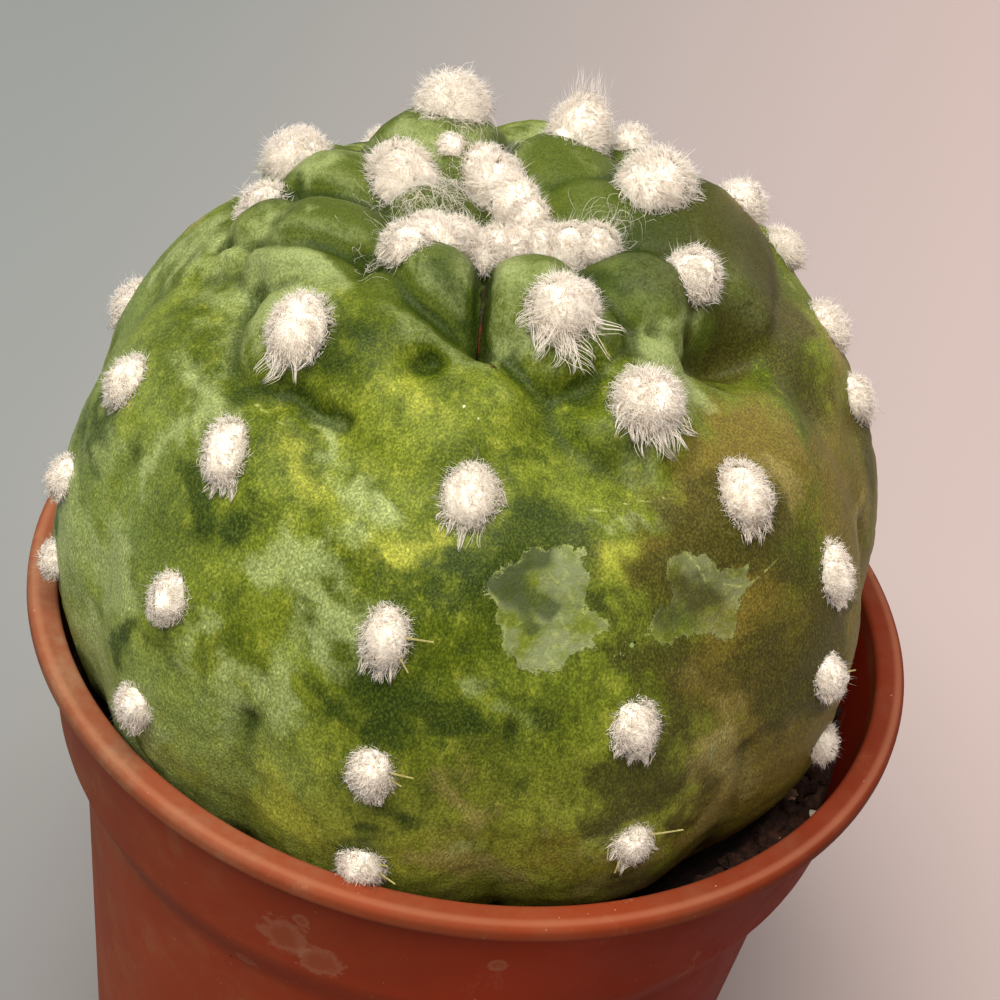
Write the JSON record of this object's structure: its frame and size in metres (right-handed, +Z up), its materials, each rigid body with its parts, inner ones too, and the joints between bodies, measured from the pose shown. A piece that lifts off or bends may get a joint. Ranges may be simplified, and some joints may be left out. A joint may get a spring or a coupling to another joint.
{
  "type": "potted domino cactus",
  "caption": "Small globe cactus with woolly areoles on low ribs, resting in a soil-filled round plastic nursery pot that stands on its flat base.",
  "frame": {"origin": "centre of the pot's flat bottom", "axes": "+Z up through the pot, the side that the picture shows faces -Y, +X to its right"},
  "size_m": [0.055, 0.055, 0.0804],
  "materials": {
    "pot_plastic": "matte moulded plastic in terracotta red-brown",
    "potting_soil": "dark, crumbly, matte potting soil of peat and bark",
    "cactus_skin": "waxy green skin with fine pale speckle",
    "areole_wool": "matte felt of fine white hairs",
    "spine": "pale yellow horn-like spines"
  },
  "bodies": {
    "root": {"pot": "pot_plastic", "soil": "potting_soil", "cactus": "cactus_skin"}
  },
  "joints": []
}
